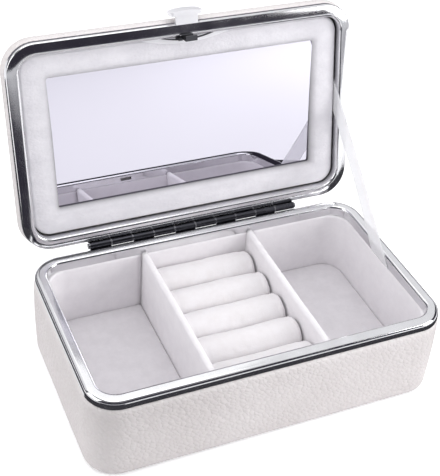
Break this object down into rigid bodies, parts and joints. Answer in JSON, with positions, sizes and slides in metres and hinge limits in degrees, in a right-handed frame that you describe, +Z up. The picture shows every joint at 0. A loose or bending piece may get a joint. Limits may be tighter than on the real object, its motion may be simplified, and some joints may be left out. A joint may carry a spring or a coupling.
{
  "type": "ring display box",
  "caption": "Leather-covered jewellery box with bright channel frames, a hinged mirror lid with ribbon stay and push-button clasp, padded ring rolls and two open bays.",
  "frame": {"origin": "centre of the underside, on the surface the box stands on", "axes": "+X to the right along the box's length, +Y to the back where the hinge is, +Z up"},
  "size_m": [0.1712, 0.1351, 0.1503],
  "materials": {
    "leather": "pebble-grained leatherette, satin",
    "bright_metal": "bright plated",
    "hinge_metal": "plated, slightly dull",
    "spring_steel": "dark spring steel",
    "velvet": "short-pile velvet",
    "roll_velvet": "short-pile velvet over foam",
    "ribbon": "sheer woven ribbon",
    "mirror": "silvered glass",
    "base_sheet": "felted paper",
    "board": "raw fibreboard"
  },
  "bodies": {
    "base": {"base_carcass": "board", "base_leather_cover": "leather", "base_bottom_sheet": "base_sheet", "base_frame": "bright_metal", "lining_left": "velvet", "lining_front": "velvet", "lining_rear": "velvet", "lining_right": "velvet", "floor_pad_left": "velvet", "floor_pad_right": "velvet", "divider_left": "velvet", "divider_right": "velvet", "ring_tray_board": "board", "ring_roll_1": "roll_velvet", "ring_roll_2": "roll_velvet", "ring_roll_3": "roll_velvet", "ring_roll_4": "roll_velvet", "ring_roll_5": "roll_velvet", "hinge_leaf_base": "hinge_metal", "hinge_pin": "hinge_metal", "hinge_rivets_base": "hinge_metal", "stay_ribbon": "ribbon"},
    "lid": {"lid_carcass": "board", "lid_leather_cover": "leather", "lid_frame": "bright_metal", "lid_pad": "velvet", "mirror_glass": "mirror", "mirror_backing": "board", "hinge_leaf_lid": "hinge_metal", "hinge_rivets_lid": "hinge_metal", "clasp_guard_plate": "bright_metal", "clasp_leaf_spring": "spring_steel"},
    "clasp": {"clasp_button": "bright_metal", "clasp_hook": "spring_steel"}
  },
  "joints": [
    {"name": "lid_hinge", "type": "hinge", "parent": "base", "child": "lid", "pos_m": [0, 0.0515, 0.0452], "axis": [1, 0, 0], "range_deg": [0, 102], "deforming": ["stay_ribbon"]},
    {"name": "clasp_press", "type": "slide", "parent": "lid", "child": "clasp", "axis": [0, -0.2079, -0.9781], "range_m": [0, 0.002], "stiffness_N_per_m": 300, "springref_m": -0.001, "deforming": ["clasp_leaf_spring"]}
  ]
}
